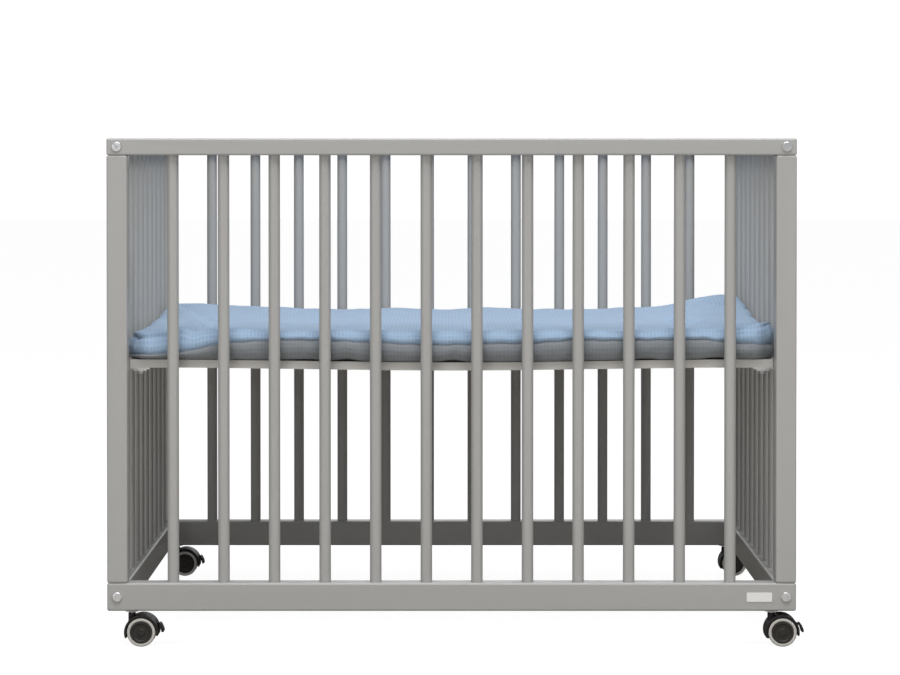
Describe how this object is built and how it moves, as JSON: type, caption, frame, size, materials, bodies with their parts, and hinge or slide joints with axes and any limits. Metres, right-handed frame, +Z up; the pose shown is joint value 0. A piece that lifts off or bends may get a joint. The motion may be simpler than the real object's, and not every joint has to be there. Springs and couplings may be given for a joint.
{
  "type": "playpen",
  "caption": "Rectangular timber playpen with round slats, a raised floor board, a padded two-tone mat and braked twin-wheel swivel castors.",
  "frame": {"origin": "on the floor, under the middle of the timber frame", "axes": "+X along the long sides to the right, +Y from front to rear, +Z up"},
  "size_m": [1.0224, 0.828, 0.745],
  "materials": {
    "lacquered_timber": "satin",
    "raw_beech": "matte",
    "painted_board": "satin",
    "zinc_steel": "satin",
    "white_plastic": "satin",
    "pale_plastic": "matte",
    "black_plastic": "satin",
    "dark_plastic": "satin",
    "grey_tread": "matte",
    "grey_fabric": "matte",
    "blue_fabric": "matte"
  },
  "bodies": {
    "frame": {"front_top_rail": "lacquered_timber", "rear_top_rail": "lacquered_timber", "front_bottom_rail": "lacquered_timber", "rear_bottom_rail": "lacquered_timber", "left_top_rail": "lacquered_timber", "right_top_rail": "lacquered_timber", "left_bottom_rail": "lacquered_timber", "right_bottom_rail": "lacquered_timber", "front_left_post": "lacquered_timber", "front_right_post": "lacquered_timber", "rear_left_post": "lacquered_timber", "rear_right_post": "lacquered_timber", "front_slats": "lacquered_timber", "rear_slats": "lacquered_timber", "left_slats": "lacquered_timber", "right_slats": "lacquered_timber", "corner_bolts": "zinc_steel", "barrel_nuts": "zinc_steel", "locating_dowels": "raw_beech", "post_dowels": "raw_beech", "floor_board": "painted_board", "floor_brackets": "zinc_steel", "bracket_screws": "zinc_steel", "floor_bolts": "zinc_steel", "floor_washers": "zinc_steel", "floor_inserts": "zinc_steel", "label_plate": "white_plastic", "castor_sockets": "pale_plastic"},
    "mat": {"mat_base": "grey_fabric", "mat_cover": "blue_fabric"},
    "front_left_castor": {"front_left_castor_housing": "black_plastic", "front_left_castor_pins": "zinc_steel"},
    "front_left_brake": {"front_left_brake_lever": "black_plastic"},
    "front_left_near_wheel": {"front_left_near_hub": "dark_plastic", "front_left_near_tyre": "grey_tread"},
    "front_left_far_wheel": {"front_left_far_hub": "dark_plastic", "front_left_far_tyre": "grey_tread"},
    "front_right_castor": {"front_right_castor_housing": "black_plastic", "front_right_castor_pins": "zinc_steel"},
    "front_right_brake": {"front_right_brake_lever": "black_plastic"},
    "front_right_near_wheel": {"front_right_near_hub": "dark_plastic", "front_right_near_tyre": "grey_tread"},
    "front_right_far_wheel": {"front_right_far_hub": "dark_plastic", "front_right_far_tyre": "grey_tread"},
    "rear_left_castor": {"rear_left_castor_housing": "black_plastic", "rear_left_castor_pins": "zinc_steel"},
    "rear_left_brake": {"rear_left_brake_lever": "black_plastic"},
    "rear_left_near_wheel": {"rear_left_near_hub": "dark_plastic", "rear_left_near_tyre": "grey_tread"},
    "rear_left_far_wheel": {"rear_left_far_hub": "dark_plastic", "rear_left_far_tyre": "grey_tread"},
    "rear_right_castor": {"rear_right_castor_housing": "black_plastic", "rear_right_castor_pins": "zinc_steel"},
    "rear_right_brake": {"rear_right_brake_lever": "black_plastic"},
    "rear_right_near_wheel": {"rear_right_near_hub": "dark_plastic", "rear_right_near_tyre": "grey_tread"},
    "rear_right_far_wheel": {"rear_right_far_hub": "dark_plastic", "rear_right_far_tyre": "grey_tread"}
  },
  "joints": [
    {"name": "mat_lift", "type": "slide", "parent": "frame", "child": "mat", "axis": [0, 0, 1], "range_m": [0, 0.4]},
    {"name": "front_left_swivel", "type": "hinge", "parent": "frame", "child": "front_left_castor", "pos_m": [-0.47, -0.3925, 0.06], "axis": [0, 0, 1], "continuous": true},
    {"name": "front_left_brake_press", "type": "hinge", "parent": "front_left_castor", "child": "front_left_brake", "pos_m": [-0.44, -0.3925, 0.0325], "axis": [0, 1, 0], "range_deg": [0, 10]},
    {"name": "front_left_near_roll", "type": "hinge", "parent": "front_left_castor", "child": "front_left_near_wheel", "pos_m": [-0.455, -0.3925, 0.021], "axis": [0, 1, 0], "continuous": true},
    {"name": "front_left_far_roll", "type": "hinge", "parent": "front_left_castor", "child": "front_left_far_wheel", "pos_m": [-0.455, -0.3925, 0.021], "axis": [0, 1, 0], "continuous": true},
    {"name": "front_right_swivel", "type": "hinge", "parent": "frame", "child": "front_right_castor", "pos_m": [0.47, -0.3925, 0.06], "axis": [0, 0, 1], "continuous": true},
    {"name": "front_right_brake_press", "type": "hinge", "parent": "front_right_castor", "child": "front_right_brake", "pos_m": [0.5, -0.3925, 0.0325], "axis": [0, 1, 0], "range_deg": [0, 10]},
    {"name": "front_right_near_roll", "type": "hinge", "parent": "front_right_castor", "child": "front_right_near_wheel", "pos_m": [0.485, -0.3925, 0.021], "axis": [0, 1, 0], "continuous": true},
    {"name": "front_right_far_roll", "type": "hinge", "parent": "front_right_castor", "child": "front_right_far_wheel", "pos_m": [0.485, -0.3925, 0.021], "axis": [0, 1, 0], "continuous": true},
    {"name": "rear_left_swivel", "type": "hinge", "parent": "frame", "child": "rear_left_castor", "pos_m": [-0.47, 0.3925, 0.06], "axis": [0, 0, 1], "continuous": true},
    {"name": "rear_left_brake_press", "type": "hinge", "parent": "rear_left_castor", "child": "rear_left_brake", "pos_m": [-0.44, 0.3925, 0.0325], "axis": [0, 1, 0], "range_deg": [0, 10]},
    {"name": "rear_left_near_roll", "type": "hinge", "parent": "rear_left_castor", "child": "rear_left_near_wheel", "pos_m": [-0.455, 0.3925, 0.021], "axis": [0, 1, 0], "continuous": true},
    {"name": "rear_left_far_roll", "type": "hinge", "parent": "rear_left_castor", "child": "rear_left_far_wheel", "pos_m": [-0.455, 0.3925, 0.021], "axis": [0, 1, 0], "continuous": true},
    {"name": "rear_right_swivel", "type": "hinge", "parent": "frame", "child": "rear_right_castor", "pos_m": [0.47, 0.3925, 0.06], "axis": [0, 0, 1], "continuous": true},
    {"name": "rear_right_brake_press", "type": "hinge", "parent": "rear_right_castor", "child": "rear_right_brake", "pos_m": [0.5, 0.3925, 0.0325], "axis": [0, 1, 0], "range_deg": [0, 10]},
    {"name": "rear_right_near_roll", "type": "hinge", "parent": "rear_right_castor", "child": "rear_right_near_wheel", "pos_m": [0.485, 0.3925, 0.021], "axis": [0, 1, 0], "continuous": true},
    {"name": "rear_right_far_roll", "type": "hinge", "parent": "rear_right_castor", "child": "rear_right_far_wheel", "pos_m": [0.485, 0.3925, 0.021], "axis": [0, 1, 0], "continuous": true}
  ]
}
